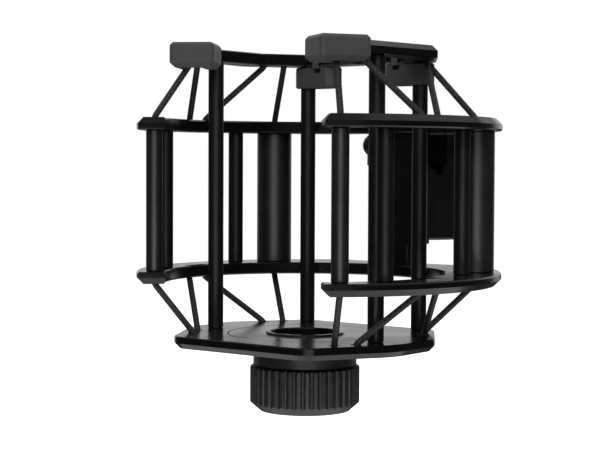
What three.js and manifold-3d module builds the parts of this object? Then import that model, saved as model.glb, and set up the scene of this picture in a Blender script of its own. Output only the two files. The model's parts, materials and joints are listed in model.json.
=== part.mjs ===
// Elastic suspension mount for a large side-address microphone.
// Millimetres, +Z up, -Y towards the open front. The shapes are laid out around the microphone's
// axis, with z = 0 on the seat that carries it. The whole mount is then moved so that its origin
// is the centre of the stand socket's mouth.
import * as THREE from "three";
import { mergeVertices } from "three/addons/utils/BufferGeometryUtils.js";
import Module from "manifold-3d";

const wasm = await Module();
wasm.setup();

// ---------------------------------------------------------------- driving dimensions
const PLATE_T = 3.9; // thickness of all four plates
const LOWER_RING_Z = 15.7; // undersides of the two outer rings and of the top plate
const UPPER_RING_Z = 64.2;
const TOP_PLATE_Z = 86.4;

// Outer rings: a round bore, a larger circle set back behind it, and a flat back.
const RING_BORE_R = 44.3;
const RING_OUTER_R = 58.1;
const RING_OUTER_Y = 7;
const RING_BACK_Y = 58.5;
const RING_END_DEG = -46.3; // the ends are cut radially at this angle from +X
const RING_BEVEL = 2;

// Base plate of the inner cradle: one half of the outline as [x, y, corner radius].
const BASE_CORNERS = [
  [26, -34, 8],
  [41.3, -8, 18],
  [41.3, 12, 7],
  [26, 35, 6],
];
const CRADLE_BEVEL = 1.7;

// Top plate: an open U whose arms turn in to the end caps.
const TOP_OUTER_X = 35.4; // where the arms meet the sides
const TOP_INNER_X = 28.3;
const TOP_OUTER_BACK = [[39.3, 15.5], [26, 35]];
const TOP_INNER_BACK = [[20.2, 26], [TOP_INNER_X, 13.7]];
const ARM_DEG = 58.5; // the arms' ends run at this angle from the X axis
const ARM_W = 10;
const CAP_END = [23.76, -27.73]; // middle of the cap's end face
const CAP_L = 16;
const CAP_W = 14.1;
const CAP_Z = [83.6, 91.4];
const CAP_WALL = 1.3;
const TONGUE_DROP = 0.5; // the arm is thinner where the cap covers it

// Posts, as [x, y, radius] on the +X side.
const CRADLE_POSTS = { front: [32, -6.5, 2.5], rear: [22.8, 30.5, 2.5] };
const RING_POSTS = {
  end: [36.5, -30.8, 2.6],
  front: [43.5, -18.3, 2.6],
  side: [45.8, 19.6, 2.5],
  corner: [41.2, 35, 6],
};

// Rear pads: blocks pushed on the rear posts under the top plate.
const PAD_X = [10.5, 26.6];
const PAD_Y = [26.5, 35];
const PAD_Z = [79.1, 86.2];
const LUG_X = 16; // a lug of the pad that hooks over the plate's inner edge
const LUG_OUT = 1.2;

// Elastic cord and the holes that it is laced through, on the +X side.
const CORD_R = 1;
const CORD_HOLE_R = 1.7;
const RING_HOLES = { front: [46.3, -3.5], rear: [46.7, 4.3] };
const CRADLE_HOLES = {
  frontOuter: [28, -21.9],
  frontInner: [31.4, -15.9],
  rearInner: [32.5, 18.9],
  rearOuter: [28.6, 24.4],
};
const CORD_BORE_R = 1.5; // bore of the hollow posts
const GROOVE_DEPTH = 2.9; // the cord's loops lie sunk in the plates
const LOOP_DEPTH = 1.6;

// Countersunk screws of the posts.
const SCREW_R = 1.2;
const SCREW_HEAD_R = 2.3;
const SCREW_HEAD_H = 1.4;
const SCREW_L = 10;
const SCREW_HOLE_R = 1.45;
const SCREW_KEY_R = 0.9;

// Seat, knurled ring and what holds it.
const SEAT_BORE_R = 10.75;
const SEAT_TUBE_R = 12.5;
const SEAT_FLANGE_R = 24.5;
const SEAT_FLANGE_T = 1.2;
const SEAT_LIP_H = 0.6;
const SEAT_TUBE_BOTTOM = -19.4;
const COLLAR_R = 16.4;
const KNURL_R = 17.4;
const KNURL_TOP = -10.3;
const KNURL_BOTTOM = -24.3;
const KNURL_BEVEL_W = 3.1;
const KNURL_BEVEL_H = 2.7;
const KNURL_COUNT = 40;
const KNURL_DEPTH = 0.5;
const KNURL_THREAD_R = 9.8;
const SNAP_Z = -15.5;
const SNAP_R = 0.7;

// Rear block, tilt hinge and stand adapter.
const HINGE_Y = 70.5;
const HINGE_Z = 60.4;
const BLOCK_HALF_X = 9.5;
const BLOCK_Y = [47.5, 57.5];
const BLOCK_BOTTOM = 26.5;
const FOOT_HALF_X = 7;
const CHEEK_X = [11, 16.6];
const CHEEK_BACK_Y = 60; // back of the plate that carries the cheeks
const CHEEK_R = 7.2;
const BARREL_R = 7.4;
const BARREL_HALF_X = 10.7;
const BOLT_R = 2.5;
const BOLT_HOLE_R = 2.8;
const WASHER_R = 5;
const WASHER_X = [16.7, 17.4];
const KNOB_R = 7.6;
const KNOB_X = [17.6, 21.9];
const CAP_NUT_R = 3.8;
const CAP_NUT_X = [-27.6, -17.5];
const ADAPTER_R = 11.4;
const ADAPTER_BOTTOM = 27.5;
const ADAPTER_TOP = 52.2;
const SOCKET_R = 7.95; // 5/8 inch stand thread
const SOCKET_DEPTH = 16;
const INSERT_BORE_R = 4.3; // 3/8 inch stand thread
const INSERT_L = 12;

const ROUND = 16; // sides of a small round solid
const ROUND_LARGE = 40;

// ---------------------------------------------------------------- materials
const finish = (color, roughness, metalness) =>
  new THREE.MeshStandardMaterial({ color, roughness, metalness });
const blackMetal = finish(0x101012, 0.42, 0.6);
const blackGloss = finish(0x0c0c0e, 0.16, 0.5);
const greyRubber = finish(0x4a4a4c, 0.75, 0);
const knurlBlack = finish(0x2c2c2e, 0.5, 0.4);
const cordBlack = finish(0x2e2f2c, 0.9, 0);
const darkSteel = finish(0x202124, 0.35, 0.9);
const brass = finish(0xb08d4a, 0.35, 1);

// ---------------------------------------------------------------- solids and booleans
function solid(geometry) {
  const bare = geometry.index ? geometry : geometry.clone();
  bare.deleteAttribute("normal");
  bare.deleteAttribute("uv");
  const merged = mergeVertices(bare, 1e-4);
  return new wasm.Manifold(
    new wasm.Mesh({
      numProp: 3,
      vertProperties: new Float32Array(merged.attributes.position.array),
      triVerts: new Uint32Array(merged.index.array),
    }),
  );
}

function geometryOf(made) {
  const mesh = made.getMesh();
  const geometry = new THREE.BufferGeometry();
  geometry.setAttribute("position", new THREE.BufferAttribute(mesh.vertProperties, 3));
  geometry.setIndex(new THREE.BufferAttribute(mesh.triVerts, 1));
  return geometry;
}

const joined = (solids) => solids.reduce((sum, next) => sum.add(next));
const cut = (body, cutters) => cutters.reduce((left, cutter) => left.subtract(cutter), body);

// An upright prism from z0 to z1 with the outline of a shape.
function prism(shape, z0, z1, curveSegments = 12) {
  const geometry = new THREE.ExtrudeGeometry(shape, {
    depth: z1 - z0,
    bevelEnabled: false,
    curveSegments,
  });
  return solid(geometry.translate(0, 0, z0));
}

// The same, with its edges bevelled at both ends, inside the outline and the height.
function bevelledGeometry(shape, z0, z1, bevel, curveSegments) {
  const geometry = new THREE.ExtrudeGeometry(shape, {
    depth: z1 - z0 - 2 * bevel,
    bevelSize: bevel,
    bevelThickness: bevel,
    bevelOffset: -bevel,
    bevelSegments: 1,
    curveSegments,
  });
  return geometry.translate(0, 0, z0 + bevel);
}

const bevelled = (shape, z0, z1, bevel, curveSegments = 12) =>
  solid(bevelledGeometry(shape, z0, z1, bevel, curveSegments));

function block([x0, x1], [y0, y1], [z0, z1]) {
  const geometry = new THREE.BoxGeometry(x1 - x0, y1 - y0, z1 - z0);
  return solid(geometry.translate((x0 + x1) / 2, (y0 + y1) / 2, (z0 + z1) / 2));
}

// A solid of revolution about Z through (x, y). The profile is a list of [radius, z].
function revolved(profile, x = 0, y = 0, sides = ROUND) {
  const points = profile.map(([r, z]) => new THREE.Vector2(r, z));
  const geometry = new THREE.LatheGeometry(points, sides);
  return solid(geometry.rotateX(Math.PI / 2).translate(x, y, 0));
}

const rod = (x, y, r, z0, z1, sides = ROUND) =>
  revolved([[0, z0], [r, z0], [r, z1], [0, z1]], x, y, sides);

const tube = (x, y, r0, r1, z0, z1, sides = ROUND) =>
  revolved([[r0, z0], [r1, z0], [r1, z1], [r0, z1], [r0, z0]], x, y, sides);

// A solid of revolution about the hinge axis. The profile is a list of [radius, x].
function turned(profile, sides = ROUND) {
  const points = profile.map(([r, x]) => new THREE.Vector2(r, x));
  const geometry = new THREE.LatheGeometry(points, sides);
  return solid(geometry.rotateZ(-Math.PI / 2).translate(0, HINGE_Y, HINGE_Z));
}

const hingeRod = (r, x0, x1, sides = ROUND) =>
  turned([[0, x0], [r, x0], [r, x1], [0, x1]], sides);

// ---------------------------------------------------------------- outlines
const polar = (r, deg) => [r * Math.cos(rad(deg)), r * Math.sin(rad(deg))];
const mirrored = (points) => points.map(([x, ...rest]) => [-x, ...rest]).reverse();

function rad(deg) {
  return THREE.MathUtils.degToRad(deg);
}

// A closed outline through the corners [x, y, radius], each rounded by an arc.
function roundedOutline(corners) {
  const shape = new THREE.Shape();
  corners.forEach(([x, y, radius], i) => {
    const here = new THREE.Vector2(x, y);
    const toward = ([u, v]) => new THREE.Vector2(u, v).sub(here).normalize();
    const back = toward(corners.at(i - 1));
    const on = toward(corners[(i + 1) % corners.length]);
    const half = Math.acos(back.dot(on)) / 2;
    const reach = radius / Math.tan(half);
    const bisector = back.clone().add(on).normalize();
    const middle = bisector.multiplyScalar(radius / Math.sin(half)).add(here);
    const from = back.multiplyScalar(reach).add(here).sub(middle);
    const to = on.multiplyScalar(reach).add(here).sub(middle);
    shape.absarc(middle.x, middle.y, radius, from.angle(), to.angle(), from.cross(to) < 0);
  });
  return shape;
}

// The same through corners that all have one radius.
const evenOutline = (corners, radius) => roundedOutline(corners.map(([x, y]) => [x, y, radius]));

function polygon(points) {
  return new THREE.Shape(points.map(([x, y]) => new THREE.Vector2(x, y)));
}

// The ring as a pie slice round the microphone's axis, before its bore is cut.
function ringOutline() {
  const [dx, dy] = polar(1, RING_END_DEG);
  const along = dy * RING_OUTER_Y;
  const reach = along + Math.sqrt(along ** 2 + RING_OUTER_R ** 2 - RING_OUTER_Y ** 2);
  const end = Math.atan2(reach * dy - RING_OUTER_Y, reach * dx);
  const back = Math.asin((RING_BACK_Y - RING_OUTER_Y) / RING_OUTER_R);
  const shape = new THREE.Shape();
  shape.moveTo(0, 0);
  shape.lineTo(reach * dx, reach * dy);
  shape.absarc(0, RING_OUTER_Y, RING_OUTER_R, end, back);
  shape.absarc(0, RING_OUTER_Y, RING_OUTER_R, Math.PI - back, Math.PI - end);
  shape.closePath();
  return shape;
}

// ---------------------------------------------------------------- shared cutters
// A cord hole through a plate that lies on z.
const cordHole = ([x, y], z) => rod(x, y, CORD_HOLE_R, z - 1, z + PLATE_T + 1, 8);

// A round-ended groove between two cord holes.
function cordGroove([xa, ya], [xb, yb], z0, z1) {
  const half = CORD_HOLE_R;
  const length = Math.hypot(xb - xa, yb - ya);
  const shape = new THREE.Shape();
  shape.absarc(0, 0, half, Math.PI / 2, (3 * Math.PI) / 2);
  shape.absarc(length, 0, half, -Math.PI / 2, Math.PI / 2);
  const geometry = new THREE.ExtrudeGeometry(shape, {
    depth: z1 - z0,
    bevelEnabled: false,
    curveSegments: 2,
  });
  geometry.rotateZ(Math.atan2(yb - ya, xb - xa)).translate(xa, ya, z0);
  return solid(geometry);
}

// A countersunk hole for a screw whose head is at z and whose shank points along dir.
function screwHole(x, y, z, dir, radius = SCREW_HOLE_R) {
  const wide = SCREW_HEAD_R + 0.25;
  const past = 0.1;
  const profile = [
    [0, z - dir * past],
    [wide, z - dir * past],
    [wide, z + dir * past],
    [radius, z + dir * (SCREW_HEAD_H + 0.25)],
    [radius, z + dir * (PLATE_T + past)],
    [0, z + dir * (PLATE_T + past)],
  ];
  return revolved(dir > 0 ? profile : profile.reverse(), x, y, 8);
}

// A countersunk screw with a hexagon key socket.
function screw(x, y, z, dir) {
  const flush = z + dir * 0.15;
  const profile = [
    [0, flush],
    [SCREW_HEAD_R, flush],
    [SCREW_HEAD_R, flush + dir * 0.2],
    [SCREW_R, flush + dir * SCREW_HEAD_H],
    [SCREW_R, flush + dir * SCREW_L],
    [0, flush + dir * SCREW_L],
  ];
  const body = revolved(dir > 0 ? profile : profile.reverse(), x, y, 8);
  const ends = [flush - dir * 0.5, flush + dir * 1].sort((a, b) => a - b);
  return cut(body, [rod(x, y, SCREW_KEY_R, ends[0], ends[1], 6)]);
}

const both = (points) => points.flatMap(([x, y]) => [[x, y], [-x, y]]);

// ---------------------------------------------------------------- outer frame
const SCREWED_RING_POSTS = [RING_POSTS.front, RING_POSTS.side];
const HOLLOW_RING_POSTS = [RING_POSTS.end, RING_POSTS.corner];
const BLOCK_SCREW_Y = 53;
const BLOCK_SCREWS_TOP = [[-5, BLOCK_SCREW_Y], [5, BLOCK_SCREW_Y]];
const BLOCK_SCREWS_BOTTOM = [[0, BLOCK_SCREW_Y]];

// A ring at height z whose wide bevel is on its upper side, or on its lower side.
function ring(z, bevelUp, blockScrews) {
  const low = bevelUp ? z - PLATE_T : z;
  const blank = bevelled(ringOutline(), low, low + 2 * PLATE_T, RING_BEVEL, ROUND_LARGE / 2);
  const waste = bevelUp ? [z - PLATE_T - 1, z] : [z + PLATE_T, z + 2 * PLATE_T + 1];
  const face = bevelUp ? z + PLATE_T : z;
  const dir = bevelUp ? -1 : 1;
  const screws = [...both(SCREWED_RING_POSTS), ...blockScrews];
  const cords = both([...Object.values(RING_HOLES), ...HOLLOW_RING_POSTS]);
  const lies = bevelUp ? [z - 1, z + GROOVE_DEPTH] : [z + PLATE_T - GROOVE_DEPTH, z + PLATE_T + 1];
  const pair = [RING_HOLES.front, RING_HOLES.rear];
  return cut(blank, [
    block([-60, 60], [-60, 70], waste),
    rod(0, 0, RING_BORE_R, z - 1, z + PLATE_T + 1, ROUND_LARGE),
    ...screws.map(([x, y]) => screwHole(x, y, face, dir)),
    ...cords.map((at) => cordHole(at, z)),
    ...[pair, mirrored(pair)].map(([a, b]) => cordGroove(a, b, ...lies)),
  ]);
}

// Posts between the rings: two are hollow for the cord, two are tapped for screws.
const RING_GAP = [LOWER_RING_Z + PLATE_T, UPPER_RING_Z];
const TAP_DEPTH = SCREW_L - PLATE_T + 1;

const tapsAt = (x, y, [z0, z1]) => [
  rod(x, y, SCREW_HOLE_R, z0 - 1, z0 + TAP_DEPTH, 8),
  rod(x, y, SCREW_HOLE_R, z1 - TAP_DEPTH, z1 + 1, 8),
];

const tappedPost = ([x, y, r], span) => cut(rod(x, y, r, ...span), tapsAt(x, y, span));
const hollowPost = ([x, y, r], span) => tube(x, y, CORD_BORE_R, r, ...span);

// Block between the rings with a narrower foot and the fork of the tilt hinge.
function rearBlock() {
  const [y0, y1] = BLOCK_Y;
  const column = (halfX, span) => {
    const corners = [[-halfX, y0], [halfX, y0], [halfX, y1], [-halfX, y1]];
    return bevelled(evenOutline(corners, 1.2), ...span, 0.5, 2);
  };
  const [inner, outer] = CHEEK_X;
  const rise = [HINGE_Z - CHEEK_R, RING_GAP[1] - 0.5];
  const cheeks = [[-outer, -inner], [inner, outer]].flatMap((span) => [
    hingeRod(CHEEK_R, ...span, 24),
    block(span, [y1 - 1, HINGE_Y], rise),
  ]);
  const body = joined([
    column(BLOCK_HALF_X, [BLOCK_BOTTOM, RING_GAP[1]]),
    column(FOOT_HALF_X, [RING_GAP[0], BLOCK_BOTTOM + 2]),
    block([-outer, outer], [y1 - 1, CHEEK_BACK_Y], rise),
    ...cheeks,
  ]);
  return cut(body, [
    hingeRod(BOLT_HOLE_R, -outer - 1, outer + 1),
    ...BLOCK_SCREWS_TOP.map(([x, y]) =>
      rod(x, y, SCREW_HOLE_R, RING_GAP[1] - TAP_DEPTH, RING_GAP[1] + 1, 8),
    ),
    ...BLOCK_SCREWS_BOTTOM.map(([x, y]) =>
      rod(x, y, SCREW_HOLE_R, RING_GAP[0] - 1, RING_GAP[0] + TAP_DEPTH, 8),
    ),
  ]);
}

// ---------------------------------------------------------------- tilt hinge and stand adapter
function standAdapter() {
  const neck = block(
    [-BARREL_HALF_X, BARREL_HALF_X],
    [HINGE_Y - BARREL_R, HINGE_Y + BARREL_R],
    [ADAPTER_TOP - 2, HINGE_Z],
  );
  const round = revolved(
    [
      [0, ADAPTER_BOTTOM],
      [ADAPTER_R - 0.8, ADAPTER_BOTTOM],
      [ADAPTER_R, ADAPTER_BOTTOM + 0.8],
      [ADAPTER_R, ADAPTER_TOP - 0.8],
      [ADAPTER_R - 0.8, ADAPTER_TOP],
      [0, ADAPTER_TOP],
    ],
    0,
    HINGE_Y,
    32,
  );
  const barrel = hingeRod(BARREL_R, -BARREL_HALF_X, BARREL_HALF_X, 24);
  return cut(joined([neck, round, barrel]), [
    rod(0, HINGE_Y, SOCKET_R, ADAPTER_BOTTOM - 1, ADAPTER_BOTTOM + SOCKET_DEPTH, 24),
    hingeRod(BOLT_HOLE_R, -BARREL_HALF_X - 1, BARREL_HALF_X + 1),
  ]);
}

function threadInsert() {
  const bottom = ADAPTER_BOTTOM + 0.4;
  const body = tube(0, HINGE_Y, INSERT_BORE_R, SOCKET_R - 0.25, bottom, bottom + INSERT_L, 24);
  const slot = [bottom - 1, bottom + 1.6];
  return cut(body, [block([-9, 9], [HINGE_Y - 0.8, HINGE_Y + 0.8], slot)]);
}

const washer = ([x0, x1]) =>
  turned([[BOLT_HOLE_R, x0], [WASHER_R, x0], [WASHER_R, x1], [BOLT_HOLE_R, x1], [BOLT_HOLE_R, x0]]);

// Lobed clamp knob, drilled for the bolt that is fixed in it.
function clampKnob() {
  const lobes = 6;
  const swing = 0.5;
  const steps = 36;
  const points = Array.from({ length: steps }, (_, i) => {
    const angle = (i / steps) * 2 * Math.PI;
    const r = KNOB_R - swing + swing * Math.cos(lobes * angle);
    return [r * Math.cos(angle), r * Math.sin(angle)];
  });
  const body = bevelledGeometry(polygon(points), ...KNOB_X, 0.8, 1);
  body.rotateY(Math.PI / 2).translate(0, HINGE_Y, HINGE_Z);
  return cut(solid(body), [hingeRod(BOLT_HOLE_R, KNOB_X[0] - 1, KNOB_X[1] - 1.5)]);
}

const clampBolt = () => hingeRod(BOLT_R, CAP_NUT_X[0] + 3, KNOB_X[1] - 2);

function capNut() {
  const [end, start] = CAP_NUT_X;
  const bore = BOLT_HOLE_R;
  return turned([
    [0, end],
    [CAP_NUT_R * 0.55, end + 0.4],
    [CAP_NUT_R * 0.85, end + 1.3],
    [CAP_NUT_R, end + 2.6],
    [CAP_NUT_R, start],
    [bore, start],
    [bore, end + 2.4],
    [0, end + 2.4],
  ]);
}

// ---------------------------------------------------------------- inner cradle
const CRADLE_GAP = [0, TOP_PLATE_Z];
const HOLE_PAIRS = [
  [CRADLE_HOLES.frontOuter, CRADLE_HOLES.frontInner],
  [CRADLE_HOLES.rearInner, CRADLE_HOLES.rearOuter],
];
const ALL_HOLE_PAIRS = [...HOLE_PAIRS, ...HOLE_PAIRS.map(mirrored)];

// The cord and screw holes that both cradle plates share. face is the outer face, dir inwards.
function cradleHoles(z, face, dir) {
  const groove = [face - dir, face + dir * GROOVE_DEPTH].sort((a, b) => a - b);
  return [
    ...both(Object.values(CRADLE_HOLES)).map((at) => cordHole(at, z)),
    ...ALL_HOLE_PAIRS.map(([a, b]) => cordGroove(a, b, ...groove)),
    ...both(Object.values(CRADLE_POSTS)).map(([x, y]) => screwHole(x, y, face, dir)),
  ];
}

function basePlate() {
  const outline = roundedOutline([...BASE_CORNERS, ...mirrored(BASE_CORNERS)]);
  const blank = bevelled(outline, -PLATE_T, PLATE_T, CRADLE_BEVEL, 8);
  return cut(blank, [
    block([-50, 50], [-50, 50], [0, PLATE_T + 1]),
    rod(0, 0, SEAT_TUBE_R + 0.3, -PLATE_T - 1, 1, ROUND_LARGE),
    rod(0, 0, SEAT_FLANGE_R + 0.2, -SEAT_FLANGE_T - 0.1, 1, ROUND_LARGE),
    ...cradleHoles(-PLATE_T, -PLATE_T, 1),
  ]);
}

// A point of the +X arm's end: along from its end face, across towards the outside.
const [ARM_UX, ARM_UY] = polar(1, ARM_DEG);

function onArm(along, across) {
  return [
    CAP_END[0] + ARM_UX * along + ARM_UY * across,
    CAP_END[1] + ARM_UY * along - ARM_UX * across,
  ];
}

// Where the line of an arm's edge reaches a given x.
function armEdgeAt(across, x) {
  const [x0] = onArm(0, across);
  return onArm((x - x0) / ARM_UX, across);
}

// An outline in the arm's own directions.
const armPolygon = (points) => polygon(points.map(([along, across]) => onArm(along, across)));

function topPlate() {
  const half = ARM_W / 2;
  const top = TOP_PLATE_Z + PLATE_T;
  const outside = [onArm(CAP_WALL, half), armEdgeAt(half, TOP_OUTER_X), ...TOP_OUTER_BACK];
  const inside = [...TOP_INNER_BACK, armEdgeAt(-half, TOP_INNER_X), onArm(-20, -half)];
  const outline = evenOutline([...outside, ...mirrored(outside)], 4);
  const opening = polygon([...inside, ...mirrored(inside)].reverse());
  const tongue = armPolygon([[-9, 9], [-9, -9], [CAP_L + 0.3, -9], [CAP_L + 0.3, 9]]);
  const tongueCut = prism(tongue, top - TONGUE_DROP, top + 1);
  const ends = prism(armPolygon([[-20, 9], [-20, -9], [CAP_WALL, -9], [CAP_WALL, 9]]), 80, 99);
  const flat = bevelled(outline, TOP_PLATE_Z - PLATE_T, top, CRADLE_BEVEL, 4);
  return cut(flat, [
    block([-50, 50], [-50, 50], [TOP_PLATE_Z - PLATE_T - 1, TOP_PLATE_Z]),
    prism(opening, TOP_PLATE_Z - 1, top + 1),
    tongueCut,
    flipped(tongueCut),
    ends,
    flipped(ends),
    ...cradleHoles(TOP_PLATE_Z, top, -1),
  ]);
}

// The mirror image of a solid across X = 0.
function flipped(made) {
  const geometry = geometryOf(made);
  const order = geometry.index.array;
  for (let i = 0; i < order.length; i += 3) [order[i], order[i + 1]] = [order[i + 1], order[i]];
  return solid(geometry.scale(-1, 1, 1));
}

// A block whose upright corners are cut off, given by its span along and across the arm.
function chamferedCorners([a0, a1], [b0, b1], c) {
  return [
    [a0 + c, b0], [a1 - c, b0], [a1, b0 + c], [a1, b1 - c],
    [a1 - c, b1], [a0 + c, b1], [a0, b1 - c], [a0, b0 + c],
  ];
}

// Cap pushed over an arm's end. Its floor is slotted for the two cords.
function endCap() {
  const [z0, z1] = CAP_Z;
  const half = CAP_W / 2;
  const outline = armPolygon(chamferedCorners([0, CAP_L], [-half, half], 1.3).reverse());
  const lower = bevelled(outline, z0, z1 + 10, 1.5);
  const upper = bevelled(outline, z0 - 10, z1, 1);
  const pocketHalf = ARM_W / 2 + 0.15;
  const rect = (a0, a1, b0, b1) => armPolygon([[a0, b1], [a0, b0], [a1, b0], [a1, b1]]);
  const pocket = rect(CAP_WALL - 0.2, CAP_L + 1, -pocketHalf, pocketHalf);
  const slot = rect(5, CAP_L + 1, -2.4, 4.6);
  return cut(lower.intersect(upper), [
    prism(pocket, TOP_PLATE_Z - 0.2, TOP_PLATE_Z + PLATE_T - TONGUE_DROP + 0.2),
    prism(slot, z0 - 1, TOP_PLATE_Z),
  ]);
}

// Pad on a rear post under the top plate, with a window under its lug.
function rearPad() {
  const outline = polygon(chamferedCorners(PAD_X, PAD_Y, 2));
  const [x, y, r] = CRADLE_POSTS.rear;
  const [low, high] = PAD_Z;
  const [front] = PAD_Y;
  const lug = [LUG_X - 1.1, LUG_X + 1.1];
  const pad = cut(bevelled(outline, low, high, 0.5), [
    rod(x, y, r + 0.3, low - 1, high + 1),
    block([LUG_X - 1.3, LUG_X + 1.3], [front - 1, front + 2], [high - 2.1, high - 0.6]),
  ]);
  return joined([
    pad,
    block(lug, [front - LUG_OUT, front + 0.3], [high - 0.6, high]),
    block(lug, [front - LUG_OUT, front - LUG_OUT / 2], [high - 0.1, high + 1.8]),
  ]);
}

// ---------------------------------------------------------------- seat and knurled ring
const SEAT_BEAD = [SNAP_Z - 1, SNAP_Z, SNAP_Z + 1];

// Disc let into the base plate, with a raised lip and a tube that the knurled ring turns on.
function seat() {
  const tubeR = SEAT_TUBE_R;
  return revolved(
    [
      [SEAT_BORE_R, SEAT_TUBE_BOTTOM],
      [tubeR, SEAT_TUBE_BOTTOM],
      [tubeR, SEAT_BEAD[0]],
      [tubeR + SNAP_R, SEAT_BEAD[1]],
      [tubeR, SEAT_BEAD[2]],
      [tubeR, -SEAT_FLANGE_T],
      [SEAT_FLANGE_R, -SEAT_FLANGE_T],
      [SEAT_FLANGE_R, 0],
      [tubeR + 0.1, 0],
      [tubeR + 0.1, SEAT_LIP_H - 0.4],
      [tubeR - 0.3, SEAT_LIP_H],
      [SEAT_BORE_R + 0.4, SEAT_LIP_H],
      [SEAT_BORE_R, SEAT_LIP_H - 0.4],
      [SEAT_BORE_R, SEAT_TUBE_BOTTOM],
    ],
    0,
    0,
    ROUND_LARGE,
  );
}

// Collar under the base plate that grips the seat's tube.
function collar() {
  const bottom = KNURL_TOP + 0.3;
  return revolved(
    [
      [SEAT_TUBE_R + 0.05, bottom],
      [COLLAR_R, bottom],
      [COLLAR_R, -PLATE_T],
      [SEAT_TUBE_R + 0.05, -PLATE_T],
      [SEAT_TUBE_R + 0.05, bottom],
    ],
    0,
    0,
    ROUND_LARGE,
  );
}

// Ring with a fluted grip. It snaps over the tube's bead and its thread takes the microphone.
function knurledRing() {
  const points = Array.from({ length: KNURL_COUNT * 2 }, (_, i) => {
    const r = KNURL_R - (i % 2 === 0 ? 0 : KNURL_DEPTH);
    return polar(r, (i * 180) / KNURL_COUNT);
  });
  const inner = SEAT_TUBE_R + 0.25;
  const shelf = SEAT_TUBE_BOTTOM - 0.4;
  const profile = [
    [KNURL_THREAD_R, KNURL_BOTTOM],
    [KNURL_R - KNURL_BEVEL_W, KNURL_BOTTOM],
    [KNURL_R, KNURL_BOTTOM + KNURL_BEVEL_H],
    [KNURL_R + 1, KNURL_BOTTOM + KNURL_BEVEL_H],
    [KNURL_R + 1, KNURL_TOP],
    [inner, KNURL_TOP],
    [inner, SEAT_BEAD[2] + 0.1],
    [inner + SNAP_R, SEAT_BEAD[1]],
    [inner, SEAT_BEAD[0] - 0.1],
    [inner, shelf],
    [KNURL_THREAD_R, shelf],
    [KNURL_THREAD_R, KNURL_BOTTOM],
  ];
  const grip = prism(polygon(points), KNURL_BOTTOM - 1, KNURL_TOP + 1);
  return revolved(profile, 0, 0, ROUND_LARGE).intersect(grip);
}

// ---------------------------------------------------------------- elastic cord
// A route through way-points whose corners are rounded. It is sampled at its own points.
class Route extends THREE.Curve {
  constructor(points) {
    super();
    this.points = points;
  }

  getPoint(t) {
    const at = THREE.MathUtils.clamp(t, 0, 1) * (this.points.length - 1);
    const i = Math.min(Math.floor(at), this.points.length - 2);
    return this.points[i].clone().lerp(this.points[i + 1], at - i);
  }

  getPointAt(u) {
    return this.getPoint(u);
  }

  getTangentAt(u) {
    return this.getTangent(u);
  }
}

function roundedRoute(stops, reach) {
  const points = stops.map((stop) => new THREE.Vector3(...stop));
  const route = [points[0]];
  for (let i = 1; i < points.length - 1; i += 1) {
    const toward = (other) => {
      const way = other.clone().sub(points[i]);
      return way.setLength(Math.min(reach, way.length() * 0.45)).add(points[i]);
    };
    const bend = new THREE.QuadraticBezierCurve3(
      toward(points[i - 1]),
      points[i],
      toward(points[i + 1]),
    );
    route.push(...bend.getPoints(2));
  }
  return new Route([...route, points.at(-1)]);
}

function cord(stops) {
  const route = roundedRoute(stops, 1.4);
  const round = new THREE.Shape().absarc(0, 0, CORD_R, 0, 2 * Math.PI);
  return solid(
    new THREE.ExtrudeGeometry(round, {
      steps: route.points.length - 1,
      curveSegments: 4,
      bevelEnabled: false,
      extrudePath: route,
    }),
  );
}

// The lacing of one side between a ring and the cradle plate beyond it. dir is +1 upwards.
function lacing(ringInner, plateFar, dir) {
  const ringOuter = ringInner + dir * PLATE_T;
  const plateNear = plateFar - dir * PLATE_T;
  const inPost = ringInner - dir * 2;
  const bight = ringInner + dir * LOOP_DEPTH;
  const loop = plateFar - dir * LOOP_DEPTH;
  const { frontOuter, frontInner, rearInner, rearOuter } = CRADLE_HOLES;
  const at = ([x, y], z) => [x, y, z];
  return cord([
    at(RING_POSTS.end, inPost),
    at(RING_POSTS.end, ringOuter),
    at(frontOuter, plateNear),
    at(frontOuter, loop),
    at(frontInner, loop),
    at(frontInner, plateNear),
    at(RING_HOLES.front, ringOuter),
    at(RING_HOLES.front, bight),
    at(RING_HOLES.rear, bight),
    at(RING_HOLES.rear, ringOuter),
    at(rearInner, plateNear),
    at(rearInner, loop),
    at(rearOuter, loop),
    at(rearOuter, plateNear),
    at(RING_POSTS.corner, ringOuter),
    at(RING_POSTS.corner, inPost),
  ]);
}

const cordRun = ([x, y]) => rod(x, y, CORD_R, RING_GAP[0] + 2.1, RING_GAP[1] - 2.1, 6);

// ---------------------------------------------------------------- assembly
const mount = new THREE.Group();

function add(name, made, material) {
  const mesh = new THREE.Mesh(geometryOf(made), material);
  mesh.name = name;
  mount.add(mesh);
  return mesh;
}

// The +X piece and its mirror image.
function addPair(name, made, material) {
  add(`${name}_right`, made, material);
  add(`${name}_left`, made, material).scale.x = -1;
}

function addScrewPair(name, [x, y], [lower, upper]) {
  addPair(`${name}_screw_lower`, screw(x, y, lower, 1), darkSteel);
  addPair(`${name}_screw_upper`, screw(x, y, upper, -1), darkSteel);
}

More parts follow.
